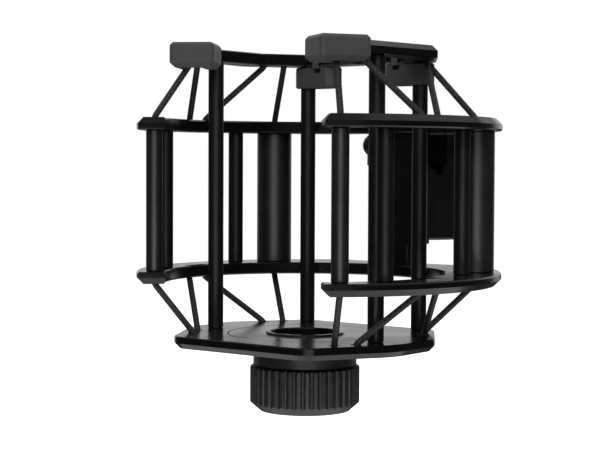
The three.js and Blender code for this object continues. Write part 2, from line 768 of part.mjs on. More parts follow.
add("upper_ring", ring(UPPER_RING_Z, true, BLOCK_SCREWS_TOP), blackGloss);
add("lower_ring", ring(LOWER_RING_Z, false, BLOCK_SCREWS_BOTTOM), blackGloss);
addPair("end_post", hollowPost(RING_POSTS.end, RING_GAP), blackMetal);
addPair("front_post", tappedPost(RING_POSTS.front, RING_GAP), blackMetal);
addPair("side_post", tappedPost(RING_POSTS.side, RING_GAP), blackMetal);
addPair("corner_post", hollowPost(RING_POSTS.corner, RING_GAP), blackMetal);
add("rear_block", rearBlock(), blackMetal);
const ringFaces = [LOWER_RING_Z, UPPER_RING_Z + PLATE_T];
addScrewPair("front_post", RING_POSTS.front, ringFaces);
addScrewPair("side_post", RING_POSTS.side, ringFaces);
addPair("block_screw_upper", screw(...BLOCK_SCREWS_TOP[1], ringFaces[1], -1), darkSteel);
add("block_screw_lower", screw(...BLOCK_SCREWS_BOTTOM[0], ringFaces[0], 1), darkSteel);

add("stand_adapter", standAdapter(), blackMetal);
add("thread_insert", threadInsert(), brass);
add("clamp_bolt", clampBolt(), darkSteel);
add("clamp_knob", clampKnob(), greyRubber);
add("cap_nut", capNut(), darkSteel);
addPair("washer", washer(WASHER_X), darkSteel);

add("base_plate", basePlate(), blackGloss);
add("top_plate", topPlate(), blackGloss);
addPair("cradle_front_post", tappedPost(CRADLE_POSTS.front, CRADLE_GAP), blackMetal);
addPair("cradle_rear_post", tappedPost(CRADLE_POSTS.rear, CRADLE_GAP), blackMetal);
const cradleFaces = [-PLATE_T, TOP_PLATE_Z + PLATE_T];
addScrewPair("cradle_front_post", CRADLE_POSTS.front, cradleFaces);
addScrewPair("cradle_rear_post", CRADLE_POSTS.rear, cradleFaces);
addPair("end_cap", endCap(), greyRubber);
addPair("rear_pad", rearPad(), greyRubber);
add("seat", seat(), blackGloss);
add("collar", collar(), knurlBlack);
add("knurled_ring", knurledRing(), knurlBlack);

addPair("cord_upper", lacing(RING_GAP[1], cradleFaces[1], 1), cordBlack);
addPair("cord_lower", lacing(RING_GAP[0], cradleFaces[0], -1), cordBlack);
addPair("cord_run_end", cordRun(RING_POSTS.end), cordBlack);
addPair("cord_run_corner", cordRun(RING_POSTS.corner), cordBlack);

mount.position.set(0, -HINGE_Y, -ADAPTER_BOTTOM);
export default mount;
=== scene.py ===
"""Looks of a microphone shock mount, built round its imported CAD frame.

Driving lengths are millimetres, laid out round the microphone's axis with z = 0 on its seat.
at() moves them into the row frame, in metres.
"""

import json
import math

import bpy
from mathutils import Matrix, Vector


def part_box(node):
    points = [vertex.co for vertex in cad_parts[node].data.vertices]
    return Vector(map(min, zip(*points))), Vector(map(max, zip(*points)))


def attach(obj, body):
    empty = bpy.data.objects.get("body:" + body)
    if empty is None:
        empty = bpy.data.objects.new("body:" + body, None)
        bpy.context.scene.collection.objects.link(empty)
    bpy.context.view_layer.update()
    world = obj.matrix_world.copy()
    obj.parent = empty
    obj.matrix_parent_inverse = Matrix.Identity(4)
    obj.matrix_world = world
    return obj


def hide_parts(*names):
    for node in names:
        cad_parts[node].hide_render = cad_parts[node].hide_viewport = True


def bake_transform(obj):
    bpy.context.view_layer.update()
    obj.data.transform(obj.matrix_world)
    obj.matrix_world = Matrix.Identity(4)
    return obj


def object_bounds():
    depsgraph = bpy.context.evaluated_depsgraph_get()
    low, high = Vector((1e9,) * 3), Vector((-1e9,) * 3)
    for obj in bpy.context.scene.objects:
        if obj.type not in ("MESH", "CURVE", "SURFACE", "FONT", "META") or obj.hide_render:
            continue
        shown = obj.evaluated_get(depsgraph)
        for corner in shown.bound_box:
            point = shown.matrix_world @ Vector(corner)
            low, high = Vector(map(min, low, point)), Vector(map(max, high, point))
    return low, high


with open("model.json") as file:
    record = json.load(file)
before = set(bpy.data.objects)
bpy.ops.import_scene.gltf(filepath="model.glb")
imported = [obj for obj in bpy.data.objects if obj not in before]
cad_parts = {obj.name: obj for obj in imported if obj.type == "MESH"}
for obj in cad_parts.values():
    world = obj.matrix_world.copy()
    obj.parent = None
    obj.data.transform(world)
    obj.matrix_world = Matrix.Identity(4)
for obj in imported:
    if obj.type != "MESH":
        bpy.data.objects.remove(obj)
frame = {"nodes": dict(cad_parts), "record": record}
cad_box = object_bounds()

# ---------------------------------------------------------------- driving dimensions
HINGE_Y, HINGE_Z = 70.5, 60.4
ADAPTER_Z = (27.5, 52.2)
PLATE_T = 3.9
LOWER_RING_Z, UPPER_RING_Z, TOP_PLATE_Z = 15.7, 64.2, 86.4
RING_GAP = (LOWER_RING_Z + PLATE_T, UPPER_RING_Z)
RING_BORE_R, RING_OUTER_R, RING_OUTER_Y, RING_BACK_Y = 44.3, 58.1, 7.0, 58.5
RING_END = math.radians(-46.3)
RING_BEVEL, CRADLE_BEVEL = 2.0, 1.7
RING_HOLES = ((46.3, -3.5), (46.7, 4.3))
END_POST, CORNER_POST = (36.5, -30.8), (41.2, 35.0)
CRADLE_HOLES = ((28.0, -21.9), (31.4, -15.9), (32.5, 18.9), (28.6, 24.4))
HOLE_R, GROOVE_DEPTH, LOOP_DEPTH, CORD_R = 1.7, 2.9, 1.6, 1.0
BASE_CORNERS = ((26, -34, 8), (41.3, -8, 18), (41.3, 12, 7), (26, 35, 6))
TOP_OUTER_X, TOP_INNER_X = 35.4, 28.3
TOP_OUTER_BACK = ((39.3, 15.5), (26.0, 35.0))
TOP_INNER_BACK = ((20.2, 26.0), (TOP_INNER_X, 13.7))
ARM = math.radians(58.5)
ARM_HALF, CAP_END, CAP_L, CAP_HALF, CAP_WALL = 5.0, (23.76, -27.73), 16.0, 7.05, 1.3
CAP_Z = (83.6, 91.4)
TONGUE_DROP = 0.5
PAD_X, PAD_Y, PAD_Z = (10.5, 26.6), (26.5, 35.0), (79.1, 86.2)
LUG_X, LUG_OUT = 16.0, 1.2
SEAT_BORE_R, SEAT_TUBE_R, SEAT_FLANGE_R, SEAT_FLANGE_T, SEAT_LIP_H = 10.75, 12.5, 24.5, 1.2, 0.6
SEAT_BOTTOM = -19.4
BEAD_Z, BEAD_HALF, BEAD_OUT = -15.5, 1.0, 0.65  # the seat tube's bead that holds the knurled ring
KNURL_R, KNURL_TOP, KNURL_BOTTOM, KNURL_COUNT = 17.4, -10.3, -24.3, 40
FRAME_SCREWS = ((43.5, -18.3), (45.8, 19.6))  # on the front and side posts
BLOCK_SCREW_Y, BLOCK_SCREW_X = 53, 5
SCREW_HOLE_R = 1.45
FRONT_CRADLE_POST, REAR_CRADLE_POST = (32, -6.5), (22.8, 30.5)
BARREL_R, BARREL_HALF, CHEEK_R, CHEEK_X = 7.4, 10.7, 7.2, (11.0, 16.6)
BOLT_R, BOLT_HOLE_R = 2.5, 2.8
WASHER_R, WASHER_X, KNOB_X, CAP_NUT_X = 5, (16.7, 17.4), (17.6, 21.9), (-27.6, -17.5)
STAND_BORE_R, STAND_BORE_DEPTH = 7.95, 16
OVERCUT = 2  # how far a cutter stands out of what it cuts
SIDES = {"right": 1, "left": -1}
MM = 0.001


def at(x, y, z):
    """A point of the layout, in the row frame."""
    return Vector((x * MM, (y - HINGE_Y) * MM, (z - ADAPTER_Z[0]) * MM))


# ---------------------------------------------------------------- mesh tools
def new_piece(name, points, faces):
    """An object from points in the layout's millimetres."""
    mesh = bpy.data.meshes.new(name)
    mesh.from_pydata([at(*p) for p in points], [], faces)
    mesh.validate()
    mesh.update()
    piece = bpy.data.objects.new(name, mesh)
    bpy.context.scene.collection.objects.link(piece)
    return piece


def apply_modifiers(piece):
    graph = bpy.context.evaluated_depsgraph_get()
    graph.update()
    old = piece.data
    piece.data = bpy.data.meshes.new_from_object(piece.evaluated_get(graph))
    piece.modifiers.clear()
    bpy.data.meshes.remove(old)


def carve(piece, cutters, operation="DIFFERENCE"):
    """Cuts the cutters out of the piece one after the other, or joins them to it."""
    for cutter in cutters:
        step = piece.modifiers.new("carve", "BOOLEAN")
        step.operation = operation
        step.solver = "EXACT"
        step.object = cutter
        apply_modifiers(piece)
        bpy.data.objects.remove(cutter)
    return piece


def merged(pieces):
    """One object from several that don't touch, so that they cut in one go."""
    first = pieces[0]
    points, faces = [], []
    for piece in pieces:
        base = len(points)
        points += [tuple(v.co) for v in piece.data.vertices]
        faces += [[base + i for i in f.vertices] for f in piece.data.polygons]
    mesh = bpy.data.meshes.new(first.name)
    mesh.from_pydata(points, [], faces)
    mesh.update()
    first.data = mesh
    for piece in pieces[1:]:
        bpy.data.objects.remove(piece)
    return first


def soften(piece, width, segments=2, angle=30):
    """Rounds the piece's edges by a width, if any, and shades the piece smooth between them."""
    if width:
        bevel = piece.modifiers.new("edges", "BEVEL")
        bevel.width = width * MM
        bevel.segments = segments
        bevel.limit_method = "ANGLE"
        bevel.angle_limit = math.radians(angle)
        apply_modifiers(piece)
    mesh = piece.data
    mesh.polygons.foreach_set("use_smooth", [True] * len(mesh.polygons))
    mesh.set_sharp_from_angle(angle=math.radians(angle))
    weights = piece.modifiers.new("normals", "WEIGHTED_NORMAL")
    weights.keep_sharp = True
    weights.weight = 80
    return piece


def filleted(corners, steps=6, closed=True):
    """Points through the corners (x, y, radius), each rounded by an arc."""
    points = []
    count = len(corners)
    for i, (x, y, radius) in enumerate(corners):
        if radius <= 0 or (not closed and i in (0, count - 1)):
            points.append((x, y))
            continue
        here = Vector((x, y))
        back = (Vector(corners[i - 1][:2]) - here).normalized()
        on = (Vector(corners[(i + 1) % count][:2]) - here).normalized()
        half = back.angle(on) / 2
        middle = here + (back + on).normalized() * (radius / math.sin(half))
        start = here + back * (radius / math.tan(half)) - middle
        turn = start.angle_signed(here + on * (radius / math.tan(half)) - middle)
        for k in range(steps + 1):
            spoke = start.copy()
            spoke.rotate(Matrix.Rotation(-turn * k / steps, 2))
            points.append(tuple(middle + spoke))
    return points


def inset_corners(corners, insets):
    """Counter-clockwise corners (x, y, radius) after their edges have moved in.

    Edge i runs on from corner i and moves in by insets[i].
    """
    least_radius = 0.05
    lines = []
    count = len(corners)
    for i, (x, y, _) in enumerate(corners):
        way = (Vector(corners[(i + 1) % count][:2]) - Vector((x, y))).normalized()
        inward = Vector((-way.y, way.x))
        lines.append((Vector((x, y)) + inward * insets[i], way))
    result = []
    for i, (_, _, radius) in enumerate(corners):
        (p, u), (q, v) = lines[i - 1], lines[i]
        cross = u.x * v.y - u.y * v.x
        t = ((q - p).x * v.y - (q - p).y * v.x) / cross
        spot = p + u * t
        inset = (insets[i - 1] + insets[i]) / 2
        rounder = radius - inset if cross > 0 else radius + inset
        result.append((spot.x, spot.y, max(rounder, least_radius) if radius > 0 else 0))
    return result


def stacked(name, loops):
    """A solid from outlines [(x, y, z), ...] of equal length, lowest first, counter-clockwise."""
    count = len(loops[0])
    points = [p for loop in loops for p in loop]
    faces = [list(range(count))[::-1], list(range(len(points) - count, len(points)))]
    for level in range(len(loops) - 1):
        for i in range(count):
            j = (i + 1) % count
            low, high = level * count, (level + 1) * count
            faces.append([low + i, low + j, high + j, high + i])
    return new_piece(name, points, faces)


def slab(name, corners, levels, steps=6):
    """A solid whose outline is inset by a list, or one number, at each level (z, inset)."""
    loops = []
    for z, inset in levels:
        insets = inset if isinstance(inset, list) else [inset] * len(corners)
        loops.append([(x, y, z) for x, y in filleted(inset_corners(corners, insets), steps)])
    return stacked(name, loops)


def lathe(name, profile, centre=(0.0, 0.0), steps=64, closed=False, rounding=0.0, shape=None):
    """A solid of revolution about Z. The profile is [(r, z), ...] from axis to axis, or closed.

    shape(angle, r) may change the radius.
    """
    if rounding:
        ends = (0, len(profile) - 1)
        corners = [
            (r, z, 0 if (not closed and i in ends) or r == 0 else rounding)
            for i, (r, z) in enumerate(profile)
        ]
        profile = filleted(corners, steps=3, closed=closed)
    points, rows = [], []
    for r, z in profile:
        if r == 0:
            rows.append([len(points)])
            points.append((centre[0], centre[1], z))
            continue
        rows.append(list(range(len(points), len(points) + steps)))
        for k in range(steps):
            angle = 2 * math.pi * k / steps
            radius = shape(angle, r) if shape else r
            points.append(
                (centre[0] + radius * math.cos(angle), centre[1] + radius * math.sin(angle), z)
            )
    faces = []
    pairs = list(zip(rows, rows[1:]))
    if closed:
        pairs.append((rows[-1], rows[0]))
    for low, high in pairs:
        for k in range(steps):
            j = (k + 1) % steps
            if len(low) == 1 and len(high) == 1:
                continue
            if len(low) == 1:
                faces.append([low[0], high[j], high[k]])
            elif len(high) == 1:
                faces.append([low[k], low[j], high[0]])
            else:
                faces.append([low[k], low[j], high[j], high[k]])
    return new_piece(name, points, faces)


def rod(name, x, y, r, z0, z1, steps=40):
    return lathe(name, [(0, z0), (r, z0), (r, z1), (0, z1)], (x, y), steps)


def box_piece(name, xs, ys, zs):
    corners = [(xs[0], ys[0], 0), (xs[1], ys[0], 0), (xs[1], ys[1], 0), (xs[0], ys[1], 0)]
    return slab(name, corners, [(zs[0], 0), (zs[1], 0)])


def hinge_lathe(name, profile, steps=64, **options):
    """A solid of revolution about the hinge's axis. The profile is [(r, x), ...].

    It is made upright through the hinge's middle, then turned on to the axis.
    """
    upright = [(r, HINGE_Z + x) for r, x in profile]
    piece = lathe(name, upright, (0, HINGE_Y), steps, **options)
    centre = at(0, HINGE_Y, HINGE_Z)
    spin = Matrix.Rotation(math.radians(90), 4, "Y")
    piece.data.transform(Matrix.Translation(centre) @ spin @ Matrix.Translation(-centre))
    return piece


def hinge_rod(name, r, x0, x1):
    return hinge_lathe(name, [(0, x0), (r, x0), (r, x1), (0, x1)])


def bolt_hole():
    """A cutter for the clamp bolt's hole, longer than the hinge is wide."""
    return hinge_rod("cutter", BOLT_HOLE_R, -20, 20)


# ---------------------------------------------------------------- materials
class Nodes:
    """A material's node tree with short ways to add and join nodes."""

    def __init__(self, name, base, roughness, metallic=0.0):
        self.material = bpy.data.materials.new(name)
        self.material.use_nodes = True
        self.tree = self.material.node_tree
        self.shader = self.tree.nodes["Principled BSDF"]
        self.shader.inputs["Base Color"].default_value = (*base, 1)
        self.shader.inputs["Roughness"].default_value = roughness
        self.shader.inputs["Metallic"].default_value = metallic
        self.place = self.add("ShaderNodeTexCoord").outputs["Object"]

    def add(self, kind, **values):
        node = self.tree.nodes.new(kind)
        for key, value in values.items():
            setattr(node, key, value)
        return node

    def join(self, source, target):
        self.tree.links.new(source, target)

    def noise(self, scale, detail, stretch=(1, 1, 1)):
        """A noise whose features are 1/scale of a metre, drawn out by stretch."""
        mapping = self.add("ShaderNodeMapping")
        mapping.inputs["Scale"].default_value = stretch
        self.join(self.place, mapping.inputs["Vector"])
        noise = self.add("ShaderNodeTexNoise")
        noise.inputs["Scale"].default_value = scale
        noise.inputs["Detail"].default_value = detail
        self.join(mapping.outputs["Vector"], noise.inputs["Vector"])
        return noise.outputs["Fac"]

    def spread(self, source, low, high, source_low=0.3, source_high=0.7):
        """Maps a value to the span from low to high."""
        spread = self.add("ShaderNodeMapRange")
        spread.inputs["From Min"].default_value = source_low
        spread.inputs["From Max"].default_value = source_high
        spread.inputs["To Min"].default_value = low
        spread.inputs["To Max"].default_value = high
        self.join(source, spread.inputs["Value"])
        return spread.outputs["Result"]

    def mix(self, fac, dark, light):
        """A colour between two, by a value."""
        mix = self.add("ShaderNodeMix", data_type="RGBA")
        mix.inputs["A"].default_value = (*dark, 1)
        mix.inputs["B"].default_value = (*light, 1)
        self.join(fac, mix.inputs["Factor"])
        return mix.outputs["Result"]

    def bump(self, height, strength, distance, below=None):
        """A relief up to distance metres high, on top of another one if below is given."""
        bump = self.add("ShaderNodeBump")
        bump.inputs["Strength"].default_value = strength
        bump.inputs["Distance"].default_value = distance
        self.join(height, bump.inputs["Height"])
        if below:
            self.join(below, bump.inputs["Normal"])
        return bump.outputs["Normal"]

    def finish(self, color=None, roughness=None, normal=None):
        """Joins what is given to the shader and returns the material."""
        if color:
            self.join(color, self.shader.inputs["Base Color"])
        if roughness:
            self.join(roughness, self.shader.inputs["Roughness"])
        if normal:
            self.join(normal, self.shader.inputs["Normal"])
        return self.material


def anodised(name, base, light, rough, grain=5200, draw=(1, 1, 0.06), index=1.5):
    """Black anodised aluminium: a fine grain, faint drawn lines and cloudy roughness."""
    unevenness = 0.035
    made = Nodes(name, base, rough)
    made.shader.inputs["IOR"].default_value = index
    cloud = made.noise(90, 4.0)
    lines = made.noise(2600, 2.0, draw)
    fine = made.noise(grain, 2.0)
    color = made.mix(made.spread(cloud, 0, 1), base, light)
    uneven = made.spread(cloud, rough - unevenness, rough + unevenness)
    normal = made.bump(fine, 0.10, 0.00004, made.bump(lines, 0.05, 0.00003))
    return made.finish(color, uneven, normal)


def rubber(name):
    """Matte moulded rubber: a fine pebble, dusty patches and a soft sheen."""
    made = Nodes(name, (0.077, 0.077, 0.079), 0.62)
    made.shader.inputs["Sheen Weight"].default_value = 0.15
    made.shader.inputs["Sheen Roughness"].default_value = 0.5
    dust = made.noise(140, 5.0)
    pebble = made.noise(4200, 2.5)
    color = made.mix(made.spread(dust, 0, 1), (0.070, 0.070, 0.072), (0.084, 0.084, 0.086))
    rough = made.spread(dust, 0.56, 0.68)
    return made.finish(color, rough, made.bump(pebble, 0.35, 0.00006))


def grip(name):
    """Moulded grip: satin, with lighter and darker patches at random."""
    made = Nodes(name, (0.026, 0.026, 0.027), 0.45)
    cloud = made.noise(300, 4.0)
    pebble = made.noise(5200, 2.0)
    color = made.mix(made.spread(cloud, 0, 1), (0.03, 0.03, 0.031), (0.042, 0.042, 0.043))
    rough = made.spread(cloud, 0.4, 0.52)
    return made.finish(color, rough, made.bump(pebble, 0.25, 0.00005))


def steel(name):
    """Black oxide steel with turning marks worn a little brighter."""
    made = Nodes(name, (0.035, 0.035, 0.037), 0.34, 0.75)
    wear = made.noise(420, 5.0)
    marks = made.noise(5200, 2.0)
    color = made.mix(made.spread(wear, 0, 1), (0.028, 0.028, 0.03), (0.07, 0.07, 0.072))
    rough = made.spread(wear, 0.27, 0.42)
    return made.finish(color, rough, made.bump(marks, 0.2, 0.00004))


def brass(name):
    """Turned brass with patches of tarnish."""
    made = Nodes(name, (0.5, 0.34, 0.13), 0.3, 1.0)
    tarnish = made.noise(260, 5.0)
    marks = made.noise(4800, 2.0)
    color = made.mix(made.spread(tarnish, 0, 1), (0.4, 0.26, 0.1), (0.56, 0.4, 0.17))
    rough = made.spread(tarnish, 0.24, 0.4)
    return made.finish(color, rough, made.bump(marks, 0.2, 0.00004))


def braid(name):
    """Braided sheath: each strand has its own shade, with light flecks in the weave, darkened
    towards each strand's edges as painted shade in the grooves.
    """
    made = Nodes(name, (0.06, 0.06, 0.055), 0.7)
    made.shader.inputs["Sheen Weight"].default_value = 0.04
    made.shader.inputs["Sheen Roughness"].default_value = 0.45
    # The strand attribute carries each strand's tone times painted groove shade, darker at the
    # strand's edges.
    strand = made.add("ShaderNodeAttribute", attribute_name="strand").outputs["Fac"]
    fibre = made.noise(7000, 3.0)
    yarn_with_groove_shade = made.mix(made.spread(strand, 0, 1, 0, 1), (0.010, 0.010, 0.0095), (0.12, 0.12, 0.108))
    shade = made.add("ShaderNodeMix", data_type="RGBA", blend_type="MULTIPLY")
    shade.inputs["Factor"].default_value = 1.0
    made.join(yarn_with_groove_shade, shade.inputs["A"])
    made.join(made.mix(made.spread(fibre, 0, 1), (0.55, 0.55, 0.55), (1, 1, 1)), shade.inputs["B"])
    rough = made.spread(fibre, 0.55, 0.75)
    return made.finish(shade.outputs["Result"], rough, made.bump(fibre, 0.5, 0.00005))


SATIN_BLACKS = ((0.0035, 0.0035, 0.0037), (0.006, 0.006, 0.0063))
GLOSS_BLACKS = ((0.003, 0.003, 0.0032), (0.005, 0.005, 0.0052))
LOOKS = {
    "ring_black": anodised("ring_black", *SATIN_BLACKS, 0.42),
    "gloss_black": anodised("gloss_black", *GLOSS_BLACKS, 0.22, grain=4000, draw=(1, 1, 1)),
    "grey_rubber": rubber("grey_rubber"),
    "knob_plastic": grip("knob_plastic"),
    "grip_grey": grip("grip_grey"),
    "cord": braid("cord"),
    "dark_steel": steel("dark_steel"),
    "brass": brass("brass"),
}
BRIGHT_BAR = anodised("bright_bar", *SATIN_BLACKS, 0.38, index=1.95)
SLOT_OF = {s["node"]: s["material_slot"] for s in frame["record"]["subparts"]}
BODY_OF = {n: b for b, ns in frame["record"]["behaviour"]["bodies"].items() for n in ns}

for cad_node, cad_object in frame["nodes"].items():
    cad_object.data.materials.clear()
    cad_object.data.materials.append(LOOKS[SLOT_OF[cad_node]])


def stands_for(piece, node, ride=True):
    """The piece takes the CAD node's place, body and finish."""
    slot = SLOT_OF[node]
    piece.data.materials.clear()
    piece.data.materials.append(LOOKS[slot])
    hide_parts(node)
    if ride:
        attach(piece, BODY_OF[node])


def both_sides(points):
    """The points and their mirror images about X = 0."""
    return [(side * x, y) for x, y in points for side in (1, -1)]


# ---------------------------------------------------------------- posts
def node_span(node):
    """Centre, radius and height span of an upright round CAD node, in the layout's millimetres."""
    low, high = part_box(node)
    x, y = (low.x + high.x) / 2 / MM, (low.y + high.y) / 2 / MM + HINGE_Y
    return x, y, (high.x - low.x) / 2 / MM, low.z / MM + ADAPTER_Z[0], high.z / MM + ADAPTER_Z[0]


def post(node, bore):
    """A turned post with broken edges and the hole through it, or the tapped holes' mouths.

    The hollow posts are polished brighter than the others.
    """
    x, y, r, z0, z1 = node_span(node)
    edge, cord_bore, tap_r, tap_depth, steps = 0.3, 1.5, SCREW_HOLE_R, 7.0, 56
    side_wall = [(r - edge, z0), (r, z0 + edge), (r, z1 - edge), (r - edge, z1)]
    if bore == "through":
        profile = [(cord_bore, z0), *side_wall, (cord_bore, z1)]
        piece = lathe(node + "_turned", profile, (x, y), steps, closed=True)
    else:
        profile = [
            (0, z0 + tap_depth), (tap_r, z0 + tap_depth), (tap_r, z0), *side_wall,
            (tap_r, z1), (tap_r, z1 - tap_depth), (0, z1 - tap_depth),
        ]
        piece = lathe(node + "_turned", profile, (x, y), steps)
    stands_for(soften(piece, 0, angle=25), node)
    if bore == "through":
        piece.data.materials[0] = BRIGHT_BAR


for side in SIDES:
    for kind in ("end_post", "corner_post"):
        post(f"{kind}_{side}", "through")
    for kind in ("front_post", "side_post", "cradle_front_post", "cradle_rear_post"):
        post(f"{kind}_{side}", "tapped")


# ---------------------------------------------------------------- screws
def screw_cutter(x, y, face, inward):
    """The countersunk hole of a screw whose head lies at the height face."""
    wide = 2.5
    above, rim, throat, below = (face + inward * depth for depth in (-0.5, 0.15, 1.6, 5))
    profile = [
        (0, above), (wide, above), (wide, rim),
        (SCREW_HOLE_R, throat), (SCREW_HOLE_R, below), (0, below),
    ]
    if inward < 0:
        profile.reverse()
    return lathe("screw_cutter", profile, (x, y), 32)


def screw(node):
    """A countersunk screw with a hexagon socket."""
    x, y, _, z0, z1 = node_span(node)
    inward = 1 if "lower" in node else -1
    face = z0 if inward > 0 else z1
    head, shank, edge, length = 2.3, 1.2, 0.15, 9.8
    socket_floor, socket_mouth, land, socket_widening = 0.9, 0.95, 1.05, 1.08
    drill_tip, socket_depth, rim, cone = (face + inward * depth for depth in (1.1, 1.0, 0.3, 1.4))
    end = face + inward * length
    profile = [
        (0, drill_tip), (socket_floor, socket_depth), (socket_mouth, face), (land, face),
        (head - edge, face), (head, face + inward * edge), (head, rim),
        (shank, cone), (shank, end), (0, end),
    ]

    def hexagon(angle, r):
        if r >= land:
            return r
        sector = math.radians(60)
        flat = math.cos(sector / 2) / math.cos(angle % sector - sector / 2)
        return r * flat * socket_widening

    if inward < 0:
        profile.reverse()
    piece = lathe(node + "_turned", profile, (x, y), 48, shape=hexagon)
    stands_for(soften(piece, 0, angle=35), node)


for cad_node in SLOT_OF:
    if "_screw_" in cad_node:
        screw(cad_node)


# ---------------------------------------------------------------- rings
def ring_outline(outer_inset, bore_inset, steps=56):
    """The C-shaped outline of a ring, counter-clockwise, with its edges moved in.

    Each end face lies on a radius at RING_END. Its tip is on the outer edge, its heel on the bore.
    """
    bore = RING_BORE_R + bore_inset
    outer = RING_OUTER_R - outer_inset
    way = Vector((math.cos(RING_END), math.sin(RING_END)))
    inward = Vector((-way.y, way.x))
    centre = Vector((0, RING_OUTER_Y))
    along = way.dot(centre)
    apart = outer_inset**2 - 2 * outer_inset * inward.dot(centre) + centre.length_squared - outer**2
    tip = inward * outer_inset + way * (along + math.sqrt(along**2 - apart))
    heel = inward * outer_inset + way * math.sqrt(bore**2 - outer_inset**2)
    tip_angle = math.atan2(tip.y - RING_OUTER_Y, tip.x)
    back_angle = math.asin((RING_BACK_Y - outer_inset - RING_OUTER_Y) / outer)
    heel_angle = math.atan2(heel.y, heel.x)
    right = []
    for k in range(steps + 1):
        angle = tip_angle + (back_angle - tip_angle) * k / steps
        right.append((outer * math.cos(angle), RING_OUTER_Y + outer * math.sin(angle)))
    inner = []
    for k in range(2 * steps + 1):
        angle = math.pi - heel_angle + (2 * heel_angle - math.pi) * k / (2 * steps)
        inner.append((bore * math.cos(angle), bore * math.sin(angle)))
    left = [(-x, y) for x, y in reversed(right)]
    return right + left + inner


def groove(a, b, z0, z1):
    """A cutter between two cord holes: a round-ended bar, a little narrower than they are."""
    start, end = Vector(a), Vector(b)
    half, roundness = HOLE_R * 0.9, 0.98
    way = (end - start).normalized() * half
    across = Vector((-way.y, way.x))
    ends = [start - way - across, end + way - across, end + way + across, start - way + across]
    corners = [(p.x, p.y, half * roundness) for p in ends]
    return slab("cutter", corners, [(z0, 0), (z1, 0)], 8)


def cord_hole(x, y, z):
    """A cutter for a cord's hole through a plate whose lower face is at z."""
    return rod("cutter", x, y, HOLE_R, z - OVERCUT, z + PLATE_T + OVERCUT)


def ring(node, z, bevel_up, screws):
    """A ring with its wide bevel above or below, its cord holes and its countersinks."""
    edge = 0.45
    levels = [
        (0, edge, edge), (edge, 0, 0), (PLATE_T - RING_BEVEL, 0, 0),
        (PLATE_T - edge, RING_BEVEL - edge, 0), (PLATE_T, RING_BEVEL, edge),
    ]
    if not bevel_up:
        levels = [(PLATE_T - h, outer, bore) for h, outer, bore in reversed(levels)]
    loops = [[(x, y, z + h) for x, y in ring_outline(outer, bore)] for h, outer, bore in levels]
    piece = stacked(node + "_milled", loops)
    top = z + PLATE_T
    face, inward = (top, -1) if bevel_up else (z, 1)
    holes = [cord_hole(x, y, z) for x, y in both_sides((*RING_HOLES, END_POST, CORNER_POST))]
    lies = (z - 1, z + GROOVE_DEPTH) if bevel_up else (top - GROOVE_DEPTH, top + 1)
    grooves = [groove(*((side * x, y) for x, y in RING_HOLES), *lies) for side in SIDES.values()]
    sinks = [screw_cutter(x, y, face, inward) for x, y in screws]
    carve(piece, [merged(grooves), merged(holes + sinks)])
    stands_for(soften(piece, 0.18), node)


post_screws = both_sides(FRAME_SCREWS)
upper_block_screws = [(BLOCK_SCREW_X, BLOCK_SCREW_Y), (-BLOCK_SCREW_X, BLOCK_SCREW_Y)]
ring("upper_ring", UPPER_RING_Z, True, [*post_screws, *upper_block_screws])
ring("lower_ring", LOWER_RING_Z, False, [*post_screws, (0, BLOCK_SCREW_Y)])


# ---------------------------------------------------------------- cradle plates
def lace_cuts(z, face, inward):
    """Cutters of the cord holes, the grooves between them and the countersinks."""
    holes = [cord_hole(x, y, z) for x, y in both_sides(CRADLE_HOLES)]
    span = sorted((face - inward, face + inward * GROOVE_DEPTH))
    grooves = []
    for side in SIDES.values():
        for (ax, ay), (bx, by) in (CRADLE_HOLES[:2], CRADLE_HOLES[2:]):
            grooves.append(groove((side * ax, ay), (side * bx, by), *span))
    screws = both_sides((FRONT_CRADLE_POST, REAR_CRADLE_POST))
    sinks = [screw_cutter(x, y, face, inward) for x, y in screws]
    return [merged(grooves), merged(holes + sinks)]


def mirrored_corners(corners):
    return [(-x, *rest) for x, *rest in reversed(corners)]


def base_plate():
    """The rounded octagon, bevelled below, with the seat's recess and tube hole."""
    edge, flange_gap, tube_gap, floor_gap = 0.3, 0.2, 0.3, 0.1
    corners = [*BASE_CORNERS, *mirrored_corners(BASE_CORNERS)]
    levels = [(-PLATE_T, CRADLE_BEVEL), (-PLATE_T + CRADLE_BEVEL, 0), (-edge, 0), (0, edge)]
    piece = slab("base_plate_milled", corners, levels, 14)
    carve(piece, [
        rod("cutter", 0, 0, SEAT_FLANGE_R + flange_gap, -SEAT_FLANGE_T - floor_gap, OVERCUT, 160),
        rod("cutter", 0, 0, SEAT_TUBE_R + tube_gap, -6, OVERCUT, 120),
        *lace_cuts(-PLATE_T, -PLATE_T, 1),
    ])
    stands_for(soften(piece, 0.15), "base_plate")


def on_arm(along, across, side=1):
    """A point of an arm's end: along from its end face, across towards the outside."""
    x = CAP_END[0] + math.cos(ARM) * along + math.sin(ARM) * across
    y = CAP_END[1] + math.sin(ARM) * along - math.cos(ARM) * across
    return side * x, y


def arm_edge_at(across, x):
    """The point at x on a line that runs along the right arm."""
    return on_arm((x - on_arm(0, across)[0]) / math.cos(ARM), across)


def arm_box(along, across, zs, side):
    """A cutter aligned with an arm."""
    (a0, a1), (b0, b1) = along, across
    ends = [on_arm(a, b, side) for a, b in ((a0, b0), (a0, b1), (a1, b1), (a1, b0))]
    if side < 0:
        ends.reverse()
    return slab("cutter", [(x, y, 0) for x, y in ends], [(zs[0], 0), (zs[1], 0)])


